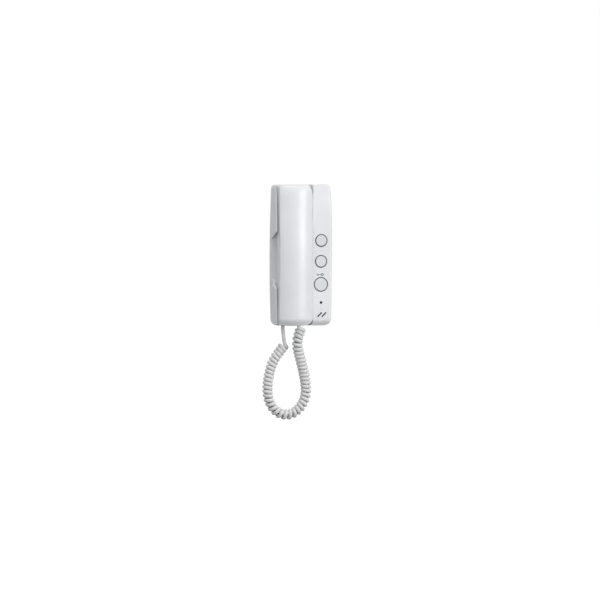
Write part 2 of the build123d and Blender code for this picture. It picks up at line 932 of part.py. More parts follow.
def handset_screws():
    return Compound(
        [
            backward_screw(handset_x, z, handset_screw_seat(), handset_screw_length)
            for z in handset_screw_zs
        ]
    )


def receiver_gasket():
    ring = disc(handset_x, receiver_z, receiver_radius)
    ring -= disc(handset_x, receiver_z, receiver_radius - gasket_width)
    return prism(ring, handset_floor, handset_floor + gasket_height)


def receiver_capsule():
    back = handset_floor + gasket_height
    rim = prism(disc(handset_x, receiver_z, receiver_radius), back, back + receiver_rim)
    rim = fillet(rim.edges().sort_by(Axis.Y)[0], button_edge)
    magnet = disc(handset_x, receiver_z, receiver_magnet_radius)
    return rim + prism(magnet, back, back + receiver_height)


def microphone_boot():
    boot = prism(
        disc(handset_x, microphone_z, boot_radius), handset_floor, handset_floor + boot_height
    )
    seat = handset_floor + boot_floor
    boot -= prism(
        disc(handset_x, microphone_z, microphone_radius), seat, handset_floor + boot_height
    )
    port = disc(handset_x, microphone_z, boot_port + mouth_hole_pitch)
    return boot - prism(port, handset_floor, seat)


def microphone_capsule():
    seat = handset_floor + boot_floor
    capsule = disc(handset_x, microphone_z, microphone_radius)
    return prism(capsule, seat, seat + microphone_height)


# The cord's lead, from the base's underside to where the curls begin
lead_route = [
    (-23.4, -6.5, -95.0),
    (-23.4, -6.5, -100.5),
    (-23.3, -8.8, -105.5),
    (-23.2, -12.0, -110.0),
]

# The line that the curls wind round, from the lead to below the handset
coil_route = [
    (-21.2, -8.9, -119.0),
    (-26.9, -9.5, -126.6),
    (-35.0, -10.3, -136.0),
    (-41.1, -11.1, -146.7),
    (-44.9, -11.8, -158.2),
    (-47.2, -12.7, -170.3),
    (-48.0, -13.4, -182.6),
    (-46.1, -14.3, -195.2),
    (-40.0, -15.0, -205.9),
    (-30.3, -15.8, -212.8),
    (-18.9, -16.5, -214.1),
    (-8.1, -17.2, -208.8),
    (0.3, -18.1, -198.9),
    (4.8, -18.6, -187.0),
    (4.3, -19.1, -173.9),
    (1.2, -19.7, -160.4),
    (-2.7, -20.3, -146.9),
    (-6.4, -20.8, -133.4),
    (-8.2, -21.1, -122.6),
    (-6.3, -21.3, -113.7),
    (-2.5, -21.4, -106.4),
]


def route_radii(points):
    """The arc at each corner: 0.45 of the shorter run, over the tangent of half the turn."""
    radii = []
    for before, corner, after in zip(points, points[1:], points[2:]):
        run_in, run_out = Vector(*corner) - Vector(*before), Vector(*after) - Vector(*corner)
        half_turn = run_in.get_angle(run_out) * pi / 360
        radii.append(0.45 * min(run_in.length, run_out.length) / tan(half_turn))
    return radii


def rounded_route(points):
    """A route as straight runs joined by tangent arcs."""
    return FilletPolyline(*points, radius=route_radii(points)).wire()


class Coil:
    """The middle line of the curls, wound to the left round coil_route."""

    def __init__(self):
        self.axis = rounded_route(coil_route)
        self.length = self.axis.length
        self.marks = self.quarter_turns()

    def place(self, along):
        return self.axis.position_at(along, position_mode=PositionMode.LENGTH)

    def heading(self, along):
        return self.axis.tangent_at(along, position_mode=PositionMode.LENGTH)

    def pitch(self, along):
        """Advance of one turn: wider in a bend, so that the turns stay apart on its inside."""
        low = max(along - coil_radius, 0)
        high = min(along + coil_radius, self.length)
        bend = self.heading(low).get_angle(self.heading(high)) * pi / 180 / (high - low)
        return (cord_diameter + coil_gap) / (1 - coil_radius * bend)

    def quarter_turns(self):
        """Distances along the axis at which each quarter turn ends, a whole number of turns in all."""
        marks = [0]
        while marks[-1] < self.length or len(marks) % 4 != 1:
            middle = min(marks[-1] + cord_diameter / 8, self.length)
            marks.append(marks[-1] + self.pitch(middle) / 4)
        return [mark * self.length / marks[-1] for mark in marks]

    def point(self, turn_quarter):
        """Place on the curls, counted in quarter turns from the lead."""
        whole = min(int(turn_quarter), len(self.marks) - 2)
        step = self.marks[whole + 1] - self.marks[whole]
        along = self.marks[whole] + (turn_quarter - whole) * step
        heading = self.heading(along)
        front = (Vector(0, -1, 0) - heading * Vector(0, -1, 0).dot(heading)).normalized()
        side = front.cross(heading)
        phase = turn_quarter * pi / 2
        return self.place(along) + (front * cos(phase) + side * sin(phase)) * coil_radius

    def direction(self, turn_quarter):
        low = max(turn_quarter - coil_step_share, 0)
        high = min(turn_quarter + coil_step_share, len(self.marks) - 1)
        return (self.point(high) - self.point(low)).normalized()


def biarc(start, start_heading, end, end_heading):
    """Two tangent arcs from one place and heading to another."""
    chord = end - start
    both = start_heading + end_heading
    spread = 2 * (1 - start_heading.dot(end_heading))
    along = chord.dot(both)
    reach = (sqrt(along * along + spread * chord.dot(chord)) - along) / spread
    first, last = start + start_heading * reach, end - end_heading * reach
    middle = (first + last) / 2
    return [
        Edge.make_tangent_arc(start, start_heading, middle),
        Edge.make_tangent_arc(middle, (last - first).normalized(), end),
    ]


def cord_runs():
    """The whole cord's middle line, run by run: the lead, every curl, and the end at the handset."""
    coil = Coil()
    lead = rounded_route(lead_route)
    runs = list(lead.edges())
    place, heading = lead @ 1, lead % 1
    for quarter in range(0, len(coil.marks), 2):
        goal, goal_heading = coil.point(quarter), coil.direction(quarter)
        runs += biarc(place, heading, goal, goal_heading)
        place, heading = goal, goal_heading
    up = Vector(0, 0, 1)
    end = Vector(handset_exit_x, -handset_exit_depth, handset_exit_z)
    runs += biarc(place, heading, end - up * cord_straight, up)
    runs.append(Edge.make_line(end - up * cord_straight, end))
    arcs = [run.radius for run in runs if run.geom_type == GeomType.CIRCLE]
    print("turns", (len(coil.marks) - 1) / 4, "round a line of", round(coil.length, 1))
    print("lead radii", [round(radius, 1) for radius in route_radii(lead_route)])
    print("tightest curl", round(min(arcs), 2))
    return runs


def least_gap(line):
    """The smallest gap between one stretch of the cord and another, measured on points."""
    count = int(line.length / (cord_diameter / 3))
    spots = line.positions([step / count for step in range(count + 1)])
    half_turn = int(pi * coil_radius / (line.length / count))
    gaps = [
        (spots[low] - spots[high]).length
        for low in range(len(spots))
        for high in range(low + half_turn, min(low + half_turn * 6, len(spots)))
    ]
    return min(gaps) - cord_diameter


def follow(section, run):
    """The solid that a section leaves behind as it follows one arc or straight run."""
    start, end = run @ 0, run @ 1
    if run.geom_type == GeomType.LINE:
        return Solid.extrude(section, end - start)
    middle = run.arc_center
    axis = Axis(middle, (start - middle).cross(run % 0))
    return Solid.revolve(section, run.length / run.radius * 180 / pi, axis)


def curly_cord():
    """One unbroken tube: the skins of all its runs, closed by the sections at its two ends."""
    runs = cord_runs()
    section = Plane(origin=runs[0] @ 0, z_dir=runs[0] % 0) * RegularPolygon(
        cord_diameter / 2, cord_sides
    )
    section = section.face()
    area, skin = section.area, [section]
    for run in runs:
        start, end = run @ 0, run @ 1
        faces = follow(section, run).faces()
        section = min(faces, key=lambda face: (face.center() - end).length)
        back = min(faces, key=lambda face: (face.center() - start).length)
        skin += [face for face in faces if not face.is_same(back) and not face.is_same(section)]
    cord = Solid(Shell(skin + [section]))
    line = Wire(runs)
    print("cord length", round(line.length, 1), "least gap", round(least_gap(line), 2))
    print("volume over section times length", round(cord.volume / (area * line.length), 6))
    return cord


def build():
    outer = handset_outer()
    return {
        "wall_plate": wall_plate(),
        "front_housing": front_housing(),
        "main_board": main_board(),
        "button_board": button_board(),
        "board_screws": board_screws(),
        "housing_screw": housing_screw(),
        "terminal_block": terminal_block(),
        "terminal_screws": terminal_screws(),
        "button_switches": button_switches(),
        "call_button": push_button(call_button_z, button_radius),
        "aux_button": push_button(aux_button_z, button_radius),
        "door_button": push_button(door_button_z, door_button_radius),
        "indicator_lens": indicator_lens(),
        "tone_sounder": tone_sounder(),
        "hook_lever": hook_lever(),
        "hook_pin": hook_pin(),
        "hook_switch": hook_switch(),
        "base_cord_bush": cord_bush(base_exit_x, base_exit_depth, -half_height, wall),
        "handset_front_shell": handset_front_shell(outer),
        "handset_rear_shell": handset_rear_shell(outer),
        "handset_screws": handset_screws(),
        "receiver_capsule": receiver_capsule(),
        "receiver_gasket": receiver_gasket(),
        "microphone_capsule": microphone_capsule(),
        "microphone_boot": microphone_boot(),
        "handset_cord_bush": cord_bush(
            handset_exit_x, handset_exit_depth, handset_exit_z, handset_wall + handset_end_bow
        ),
        "curly_cord": curly_cord(),
    }


os.makedirs("parts", exist_ok=True)
for name, shape in build().items():
    export_step(shape, f"parts/{name}.step")
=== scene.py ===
import math

import bmesh
import bpy
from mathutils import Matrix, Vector
from mathutils.bvhtree import BVHTree


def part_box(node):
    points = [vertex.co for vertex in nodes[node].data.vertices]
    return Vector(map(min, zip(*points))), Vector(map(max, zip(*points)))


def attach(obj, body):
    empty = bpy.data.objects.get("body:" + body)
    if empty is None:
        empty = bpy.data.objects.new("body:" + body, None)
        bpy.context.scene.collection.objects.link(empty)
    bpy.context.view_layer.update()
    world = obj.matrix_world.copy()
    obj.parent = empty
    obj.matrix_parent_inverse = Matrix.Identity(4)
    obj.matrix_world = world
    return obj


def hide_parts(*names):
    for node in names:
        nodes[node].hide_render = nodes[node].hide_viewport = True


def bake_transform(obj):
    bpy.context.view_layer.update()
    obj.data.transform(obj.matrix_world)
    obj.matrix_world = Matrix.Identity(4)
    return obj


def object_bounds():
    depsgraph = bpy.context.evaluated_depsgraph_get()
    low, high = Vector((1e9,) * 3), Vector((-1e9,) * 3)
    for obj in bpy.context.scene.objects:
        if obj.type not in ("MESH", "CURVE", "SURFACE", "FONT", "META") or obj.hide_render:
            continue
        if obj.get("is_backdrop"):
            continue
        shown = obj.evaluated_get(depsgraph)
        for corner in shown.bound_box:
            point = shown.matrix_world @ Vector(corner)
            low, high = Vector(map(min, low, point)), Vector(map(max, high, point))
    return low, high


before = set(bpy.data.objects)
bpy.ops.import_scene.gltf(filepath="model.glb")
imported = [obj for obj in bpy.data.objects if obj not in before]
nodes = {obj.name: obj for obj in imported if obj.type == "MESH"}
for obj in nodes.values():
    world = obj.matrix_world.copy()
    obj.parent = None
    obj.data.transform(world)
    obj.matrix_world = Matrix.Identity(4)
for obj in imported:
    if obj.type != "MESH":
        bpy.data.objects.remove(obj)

cad_low, cad_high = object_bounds()

# The view: the station hangs at eye level and is seen a little from its left, from so far off
# that its edges stay parallel. The frame is as wide as the photograph, with the same air round it.
photo_size = 600.0
pixels_per_metre = 739.5
origin_pixel = (297.9, 254.75)
view_turn = math.radians(-17.0)
view_tilt = math.radians(2.0)
camera_distance = 6.0
camera_sensor = 36.0

to_camera = Vector(
    (
        math.sin(view_turn) * math.cos(view_tilt),
        -math.cos(view_turn) * math.cos(view_tilt),
        math.sin(view_tilt),
    )
)
view_right = Vector((math.cos(view_turn), math.sin(view_turn), 0.0))
view_up = to_camera.cross(view_right)
aim = view_right * ((photo_size / 2 - origin_pixel[0]) / pixels_per_metre)
aim -= view_up * ((photo_size / 2 - origin_pixel[1]) / pixels_per_metre)
camera = bpy.data.objects.new("camera", bpy.data.cameras.new("camera"))
camera.data.sensor_width = camera_sensor
camera.data.lens = camera_sensor * camera_distance * pixels_per_metre / photo_size
camera.location = aim + to_camera * camera_distance
camera.rotation_mode = "QUATERNION"
camera.rotation_quaternion = (-to_camera).to_track_quat("-Z", "Y")
bpy.context.collection.objects.link(camera)
bpy.context.scene.camera = camera
bpy.context.scene.view_settings.view_transform = "Standard"

# The studio: a pale floor under the hanging station, white all round, one broad lamp in front on
# the right and weak ones on the left and above, so that the left walls fall into soft grey.
floor_height = -0.34
floor_size = 5.0
floor_colour = (0.86, 0.86, 0.86, 1.0)
floor_bounce = (0.3, 0.3, 0.3, 1.0)
floor_glow_strength = 0.75
surround_light = 0.38
surround_colour = (0.95, 0.97, 1.0, 1.0)
white = (1.0, 1.0, 1.0, 1.0)
white_strength = 1.0
lamp_places = [
    ("key lamp", (0.95, -1.2, 0.15), 0.8, 12.1),
    ("fill lamp", (-0.95, -1.0, 0.35), 0.8, 4.0),
    ("top lamp", (-0.15, -0.4, 1.0), 0.5, 3.4),
]


def white_to_camera(tree, dim, bright):
    """Mixes a shader for what the camera, gloss and glass see with a dim one for the light."""
    path = tree.nodes.new("ShaderNodeLightPath")
    seen = tree.nodes.new("ShaderNodeMath")
    seen.operation = "MAXIMUM"
    tree.links.new(path.outputs["Is Camera Ray"], seen.inputs[0])
    tree.links.new(path.outputs["Is Transmission Ray"], seen.inputs[1])
    either = tree.nodes.new("ShaderNodeMath")
    either.operation = "MAXIMUM"
    tree.links.new(seen.outputs[0], either.inputs[0])
    tree.links.new(path.outputs["Is Glossy Ray"], either.inputs[1])
    mix = tree.nodes.new("ShaderNodeMixShader")
    tree.links.new(either.outputs[0], mix.inputs["Fac"])
    tree.links.new(dim, mix.inputs[1])
    tree.links.new(bright, mix.inputs[2])
    return mix.outputs[0]


world = bpy.data.worlds.new("studio")
world.use_nodes = True
bpy.context.scene.world = world
world_tree = world.node_tree
world_tree.nodes.clear()
dim_air = world_tree.nodes.new("ShaderNodeBackground")
dim_air.inputs["Color"].default_value = surround_colour
dim_air.inputs["Strength"].default_value = surround_light
white_air = world_tree.nodes.new("ShaderNodeBackground")
white_air.inputs["Color"].default_value = white
white_air.inputs["Strength"].default_value = white_strength
world_out = world_tree.nodes.new("ShaderNodeOutputWorld")
world_tree.links.new(
    white_to_camera(world_tree, dim_air.outputs[0], white_air.outputs[0]),
    world_out.inputs["Surface"],
)

floor_paint = bpy.data.materials.new("pale floor")
floor_paint.use_nodes = True
floor_tree = floor_paint.node_tree
floor_tree.nodes.clear()
floor_dim = floor_tree.nodes.new("ShaderNodeBsdfDiffuse")
floor_dim.inputs["Color"].default_value = floor_bounce
floor_matt = floor_tree.nodes.new("ShaderNodeBsdfDiffuse")
floor_matt.inputs["Color"].default_value = floor_colour
floor_glow = floor_tree.nodes.new("ShaderNodeEmission")
floor_glow.inputs["Strength"].default_value = floor_glow_strength
floor_lit = floor_tree.nodes.new("ShaderNodeAddShader")
floor_tree.links.new(floor_matt.outputs[0], floor_lit.inputs[0])
floor_tree.links.new(floor_glow.outputs[0], floor_lit.inputs[1])
floor_out = floor_tree.nodes.new("ShaderNodeOutputMaterial")
floor_tree.links.new(
    white_to_camera(floor_tree, floor_dim.outputs[0], floor_lit.outputs[0]),
    floor_out.inputs["Surface"],
)
floor_mesh = bpy.data.meshes.new("floor")
shape = bmesh.new()
bmesh.ops.create_grid(shape, x_segments=2, y_segments=2, size=floor_size)
bmesh.ops.translate(shape, verts=shape.verts, vec=(0.0, 0.0, floor_height))
shape.to_mesh(floor_mesh)
shape.free()
floor_mesh.materials.append(floor_paint)
floor = bpy.data.objects.new("floor", floor_mesh)
bpy.context.collection.objects.link(floor)
floor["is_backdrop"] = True

for lamp_name, place, size, power in lamp_places:
    lamp = bpy.data.objects.new(lamp_name, bpy.data.lights.new(lamp_name, "AREA"))
    lamp.data.shape = "DISK"
    lamp.data.size = size
    lamp.data.energy = power
    lamp.location = place
    lamp.rotation_mode = "QUATERNION"
    lamp.rotation_quaternion = (aim - Vector(place)).to_track_quat("-Z", "Y")
    bpy.context.collection.objects.link(lamp)

# The wall plate: a flat moulding of white ABS that is screwed to the wall, with a window for the
# wires. Like every moulding here it has a fine spark-eroded grain, off the gloss of its tool.
shell_white = (0.79, 0.80, 0.815, 1.0)
shell_translucence = 0.35
translucence_depth = 0.0015
plastic_ior = 1.5
noise_middle = (0.3, 0.7)
cloud_scale = 38.0
cloud_shade = 0.965
mark_scale = 90.0
mark_detail = 6.0
mark_roughness = (-0.04, 0.07)
grain_detail = 2.0
facet_weld = 1e-6
facet_crease = math.radians(28.0)


def shader(name):
    """A new material: its node tree and its surface shader."""
    material = bpy.data.materials.new(name)
    material.use_nodes = True
    tree = material.node_tree
    return material, tree, tree.nodes["Principled BSDF"]


def object_noise(tree, scale, detail=3.0):
    """A noise that stays fixed on the piece, with about scale lumps a metre."""
    place = tree.nodes.new("ShaderNodeTexCoord")
    noise = tree.nodes.new("ShaderNodeTexNoise")
    noise.inputs["Scale"].default_value = scale
    noise.inputs["Detail"].default_value = detail
    tree.links.new(place.outputs["Object"], noise.inputs["Vector"])
    return noise.outputs["Fac"]


def spread(tree, value, low, high):
    """Takes a noise's middle range to the range from low to high."""
    band = tree.nodes.new("ShaderNodeMapRange")
    band.inputs["From Min"].default_value = noise_middle[0]
    band.inputs["From Max"].default_value = noise_middle[1]
    band.inputs["To Min"].default_value = low
    band.inputs["To Max"].default_value = high
    tree.links.new(value, band.inputs["Value"])
    return band.outputs["Result"]


def grain_bump(tree, surface, value, depth, strength=0.5):
    """Raises the surface's grain by a value, to about depth metres."""
    bump = tree.nodes.new("ShaderNodeBump")
    bump.inputs["Strength"].default_value = strength
    bump.inputs["Distance"].default_value = depth
    tree.links.new(value, bump.inputs["Height"])
    tree.links.new(bump.outputs["Normal"], surface.inputs["Normal"])


def moulded_plastic(
    name, colour, roughness=0.36, grain=2600.0, grain_depth=0.00003, translucence=0.0
):
    """Moulded plastic: an even colour that clouds a little, a fine grain and marks of use."""
    material, tree, surface = shader(name)
    cloud = spread(tree, object_noise(tree, cloud_scale), 0.0, 1.0)
    tint = tree.nodes.new("ShaderNodeMix")
    tint.data_type = "RGBA"
    tree.links.new(cloud, tint.inputs["Factor"])
    tint.inputs["A"].default_value = colour
    tint.inputs["B"].default_value = [channel * cloud_shade for channel in colour[:3]] + [1.0]
    tree.links.new(tint.outputs["Result"], surface.inputs["Base Color"])
    smoother, duller = (roughness + change for change in mark_roughness)
    marks = spread(tree, object_noise(tree, mark_scale, mark_detail), smoother, duller)
    tree.links.new(marks, surface.inputs["Roughness"])
    surface.inputs["IOR"].default_value = plastic_ior
    surface.inputs["Subsurface Weight"].default_value = translucence
    surface.inputs["Subsurface Radius"].default_value = (1.0, 1.0, 1.0)
    surface.inputs["Subsurface Scale"].default_value = translucence_depth
    grain_bump(tree, surface, object_noise(tree, grain, grain_detail), grain_depth)
    return material


def smooth_surface(piece):
    """Shades a CAD node smoothly across its facets, and keeps the edges past the crease sharp."""
    group = bpy.data.node_groups.get("smooth facets")
    if group is None:
        group = bpy.data.node_groups.new("smooth facets", "GeometryNodeTree")
        group.interface.new_socket("Geometry", in_out="INPUT", socket_type="NodeSocketGeometry")
        angle = group.interface.new_socket("Crease", in_out="INPUT", socket_type="NodeSocketFloat")
        angle.subtype = "ANGLE"
        group.interface.new_socket("Geometry", in_out="OUTPUT", socket_type="NodeSocketGeometry")
        given = group.nodes.new("NodeGroupInput")
        made = group.nodes.new("NodeGroupOutput")
        weld = group.nodes.new("GeometryNodeMergeByDistance")
        weld.inputs["Distance"].default_value = facet_weld
        faces = group.nodes.new("GeometryNodeSetShadeSmooth")
        faces.domain = "FACE"
        edges = group.nodes.new("GeometryNodeSetShadeSmooth")
        edges.domain = "EDGE"
        edges.inputs["Shade Smooth"].default_value = False
        bend = group.nodes.new("GeometryNodeInputMeshEdgeAngle")
        sharp = group.nodes.new("FunctionNodeCompare")
        sharp.operation = "GREATER_THAN"
        links = group.links
        links.new(given.outputs["Geometry"], weld.inputs["Geometry"])
        links.new(weld.outputs["Geometry"], faces.inputs["Geometry"])
        links.new(faces.outputs["Geometry"], edges.inputs["Geometry"])
        links.new(bend.outputs["Unsigned Angle"], sharp.inputs[0])
        links.new(given.outputs["Crease"], sharp.inputs[1])
        links.new(sharp.outputs["Result"], edges.inputs["Selection"])
        links.new(edges.outputs["Geometry"], made.inputs["Geometry"])
    smooth = piece.modifiers.new("smooth facets", "NODES")
    smooth.node_group = group
    smooth[group.interface.items_tree["Crease"].identifier] = facet_crease
    even = piece.modifiers.new("even shading", "WEIGHTED_NORMAL")
    even.mode = "FACE_AREA"
    even.keep_sharp = True


def finish_node(name, material):
    """Gives a CAD node its smooth shading and its material."""
    piece = nodes[name]
    smooth_surface(piece)
    piece.data.materials.clear()
    piece.data.materials.append(material)


shell_plastic = moulded_plastic(
    "white shell plastic", shell_white, translucence=shell_translucence
)
finish_node("wall_plate", shell_plastic)

# The front housing: the same white ABS, moulded with the cradle, the panel and the finger scoop.
# One screw from below, in its bottom edge, holds it to the wall plate.
finish_node("front_housing", shell_plastic)

# The inner parts: laminate boards with their terminals, switches and screws, and the sounder
# under the slots. Only the sounder shows in front, and a strip of a board in the wall plate's
# window.
mask_greens = ((0.012, 0.09, 0.035, 1.0), (0.016, 0.11, 0.045, 1.0), (0.03, 0.17, 0.07, 1.0))
track_scale = 160.0
mask_roughness = 0.3
mask_grain = 900.0
mask_grain_depth = 0.00005
turning_lay = (4000.0, 250.0, 250.0)
turning_roughness = 0.2
turning_depth = 0.00002
inner_black = (0.02, 0.02, 0.022, 1.0)
terminal_green = (0.05, 0.2, 0.07, 1.0)
zinc_grey = (0.6, 0.61, 0.63, 1.0)
tinned_yellow = (0.72, 0.66, 0.5, 1.0)
can_grey = (0.7, 0.7, 0.7, 1.0)


def board_laminate(name):
    """Green solder mask over copper tracks, which show through it as paler straight bands."""
    material, tree, surface = shader(name)
    place = tree.nodes.new("ShaderNodeTexCoord")
    tracks = tree.nodes.new("ShaderNodeTexBrick")
    tracks.inputs["Scale"].default_value = track_scale
    for socket, green in zip(("Color1", "Color2", "Mortar"), mask_greens):
        tracks.inputs[socket].default_value = green
    tree.links.new(place.outputs["Object"], tracks.inputs["Vector"])
    tree.links.new(tracks.outputs["Color"], surface.inputs["Base Color"])
    surface.inputs["Roughness"].default_value = mask_roughness
    grain_bump(tree, surface, object_noise(tree, mask_grain), mask_grain_depth)
    return material


def plated_metal(name, colour, roughness):
    """Plated metal with fine turning marks drawn out along one direction."""
    material, tree, surface = shader(name)
    place = tree.nodes.new("ShaderNodeTexCoord")
    lay = tree.nodes.new("ShaderNodeMapping")
    lay.inputs["Scale"].default_value = turning_lay
    marks = tree.nodes.new("ShaderNodeTexNoise")
    marks.inputs["Scale"].default_value = 1.0
    tree.links.new(place.outputs["Object"], lay.inputs["Vector"])
    tree.links.new(lay.outputs["Vector"], marks.inputs["Vector"])
    surface.inputs["Metallic"].default_value = 1.0
    surface.inputs["Base Color"].default_value = colour
    duller = spread(tree, marks.outputs["Fac"], roughness, roughness + turning_roughness)
    tree.links.new(duller, surface.inputs["Roughness"])
    grain_bump(tree, surface, marks.outputs["Fac"], turning_depth)
    return material


laminate = board_laminate("board laminate")
black_plastic = moulded_plastic("black inner plastic", inner_black, roughness=0.45)
terminal_plastic = moulded_plastic("green terminal plastic", terminal_green, roughness=0.4)
zinc = plated_metal("zinc-plated steel", zinc_grey, roughness=0.28)
terminal_brass = plated_metal("tinned brass", tinned_yellow, roughness=0.3)
capsule_can = plated_metal("drawn aluminium can", can_grey, roughness=0.35)
for name in ("main_board", "button_board"):
    finish_node(name, laminate)
for name in ("tone_sounder", "button_switches", "hook_switch"):
    finish_node(name, black_plastic)
for name in ("board_screws", "housing_screw", "handset_screws", "hook_pin"):
    finish_node(name, zinc)
finish_node("terminal_block", terminal_plastic)
finish_node("terminal_screws", terminal_brass)

# The push buttons: three caps of the same plastic with a duller, slightly greyer face. Each runs
# in a round hole. A black rubber sleeve on its flange and a thin black ring on the panel round the
# hole are painted shade: they turn the shaded gap round each cap into a dark line.
button_grey = (0.70, 0.71, 0.725, 1.0)
# Painted shade: the black of the sleeves and rings that draw the gaps round the caps.
gap_shade_black = (0.012, 0.012, 0.012, 1.0)
button_plastic = moulded_plastic(
    "button plastic", button_grey, roughness=0.48, grain=1500.0, grain_depth=0.00006
)
gap_shade_rubber = moulded_plastic(
    "black gap shade rubber", gap_shade_black, roughness=0.7, grain=1200.0, grain_depth=0.0001
)
button_lip = 0.0017
button_gap = 0.0008
sleeve_clearance = 0.00004
sleeve_depth = 0.0002
sleeve_round = 0.00012
shade_ring_sides = 96
shade_ring_width = 0.00045
film_depth = 0.00005
film_sink = 0.00001


def add_piece(name, shape, material, body):
    """Makes a finished shape a piece that rides on a body."""
    mesh = bpy.data.meshes.new(name)
    shape.to_mesh(mesh)
    shape.free()
    mesh.materials.append(material)
    piece = bpy.data.objects.new(name, mesh)
    bpy.context.collection.objects.link(piece)
    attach(piece, body)


def thicken(shape, rise):
    """Makes a flat shape a closed plate that stands out from its place by rise, along Y."""
    plate = bmesh.ops.extrude_face_region(shape, geom=shape.faces[:])
    raised = [item for item in plate["geom"] if isinstance(item, bmesh.types.BMVert)]
    bmesh.ops.translate(shape, verts=raised, vec=(0.0, rise, 0.0))
    bmesh.ops.recalc_face_normals(shape, faces=shape.faces)
    return raised


def gap_shade_sleeve(button):
    """A black sleeve on the button's flange that stands close round its cap, up to the panel:
    painted shade in the gap round the cap.
    """
    low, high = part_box(button)
    middle = [(a + b) / 2 for a, b in zip(low, high)]
    flange_radius = (high[0] - low[0]) / 2
    cap_radius = flange_radius - button_lip
    hole_radius = cap_radius + button_gap

    def off_axis(vertex):
        return math.hypot(vertex.co.x - middle[0], vertex.co.z - middle[2])

    seat = min(
        vertex.co.y
        for vertex in nodes[button].data.vertices
        if off_axis(vertex) > cap_radius + button_lip / 2
    )
    rim = min(
        vertex.co.y
        for vertex in nodes["front_housing"].data.vertices
        if abs(off_axis(vertex) - hole_radius) < button_gap / 4
    )
    shape = bmesh.new()
    start = shape.verts.new((cap_radius + sleeve_clearance, 0.0, 0.0))
    end = shape.verts.new((hole_radius - sleeve_clearance, 0.0, 0.0))
    edge = shape.edges.new((start, end))
    bmesh.ops.spin(
        shape,
        geom=[start, end, edge],
        axis=(0.0, 1.0, 0.0),
        angle=math.tau,
        steps=shade_ring_sides,
        use_merge=True,
    )
    raised = thicken(shape, rim + sleeve_depth - seat)
    edges_on_top = [
        item
        for item in shape.edges
        if all(vertex in raised for vertex in item.verts)
        and abs(item.verts[0].co.length - item.verts[1].co.length) < sleeve_clearance
    ]
    bmesh.ops.bevel(
        shape,
        geom=edges_on_top,
        offset=sleeve_round,
        offset_type="OFFSET",
        segments=2,
        profile=0.5,
        affect="EDGES",
        material=-1,
    )
    bmesh.ops.translate(shape, verts=shape.verts, vec=(middle[0], seat, middle[2]))
    # The sleeve is painted shade: a black piece where the gap round the cap holds only shade.
    add_piece(button.replace("button", "seal"), shape, gap_shade_rubber, button)


panel = nodes["front_housing"].data
panel_tree = BVHTree.FromPolygons(
    [vertex.co for vertex in panel.vertices], [tuple(face.vertices) for face in panel.polygons]
)


def film_on_panel(name, shape, x, z, material, slot):
    """Lays a flat shape on the panel as a closed film that follows its face."""
    for vertex in shape.verts:
        place = Vector((x + vertex.co.x, 2 * cad_low[1], z + vertex.co.y))
        vertex.co = panel_tree.ray_cast(place, Vector((0.0, 1.0, 0.0)))[0]
        vertex.co.y += film_sink
    thicken(shape, -film_depth)
    add_piece(name, shape, material, "base")


def flat_ring(outer, inner, sides):
    """A flat ring of faces round the origin."""
    shape = bmesh.new()
    for radius in (outer, inner):
        bmesh.ops.create_circle(shape, segments=sides, radius=radius)
    bmesh.ops.bridge_loops(shape, edges=shape.edges[:])
    return shape


for name in ("call_button", "aux_button", "door_button"):
    finish_node(name, button_plastic)
    gap_shade_sleeve(name)
    low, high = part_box(name)
    hole_radius = (high[0] - low[0]) / 2 - button_lip + button_gap
    # A flat black ring on the panel round the hole: more painted shade for the gap's dark line.
    lip = flat_ring(hole_radius + shade_ring_width, hole_radius + sleeve_clearance, shade_ring_sides)
    place = (low[0] + high[0]) / 2, (low[2] + high[2]) / 2
    film_on_panel(name.replace("button", "ring"), lip, *place, gap_shade_rubber, "boot_rubber")

# The key sign over the door button: grey ink, pad-printed on the panel. It is one thin closed film
# that follows the panel's crown, a ring with a shank and two bits.
ink_grey = (0.03, 0.03, 0.032, 1.0)
key_middle = (0.0262, -0.0262)
key_ring = 0.00175
key_hole = 0.0009
key_sides = 32
key_steps = 8
key_step = 0.00078
key_bit = 0.0011
key_bits = (1, 3)
key_tolerance = 0.00001


def middle_of(edge):
    """The point halfway along an edge."""
    return (edge.verts[0].co + edge.verts[1].co) / 2


key_shape = flat_ring(key_ring, key_hole, key_sides)
from_left = sorted(key_shape.edges, key=lambda edge: middle_of(edge).x)
shank = [edge for edge in from_left if edge.is_boundary][:2]
for step in range(key_steps):
    made = bmesh.ops.extrude_edge_only(key_shape, edges=shank)["geom"]
    ends = [item for item in made if isinstance(item, bmesh.types.BMVert)]
    left = min(vertex.co.x for vertex in ends) - key_step
    for vertex in ends:
        vertex.co.x = left
    added = [item for item in made if isinstance(item, bmesh.types.BMEdge)]
    shank = [
        edge
        for edge in added
        if max(abs(end.co.x - left) for end in edge.verts) < key_tolerance
    ]
    if key_steps - step in key_bits:
        under = Vector((left + key_step / 2, min(vertex.co.y for vertex in ends), 0.0))
        side = min(
            (edge for edge in key_shape.edges if edge.is_boundary),
            key=lambda edge: (middle_of(edge) - under).length,
        )
        made = bmesh.ops.extrude_edge_only(key_shape, edges=[side])["geom"]
        foot = [item for item in made if isinstance(item, bmesh.types.BMVert)]
        bmesh.ops.translate(key_shape, verts=foot, vec=(0.0, -key_bit, 0.0))
key_ink = moulded_plastic(
    "grey pad ink", ink_grey, roughness=0.55, grain=1500.0, grain_depth=0.00001
)
film_on_panel("key_sign", key_shape, *key_middle, key_ink, "black_plastic")

# The indicator: a dark red light pipe, flush with the panel, which looks black while it is out. A
# thin black collar round it hides the edge of its hole: painted shade, a dark ring for the gap.
lens_red = (0.008, 0.002, 0.002, 1.0)
lens_roughness = 0.3
lens_gloss = 0.15
lens_ripple = 500.0
lens_ripple_depth = 0.00002
lens_ripple_strength = 0.2
collar_inner = 0.00142
collar_outer = 0.00185

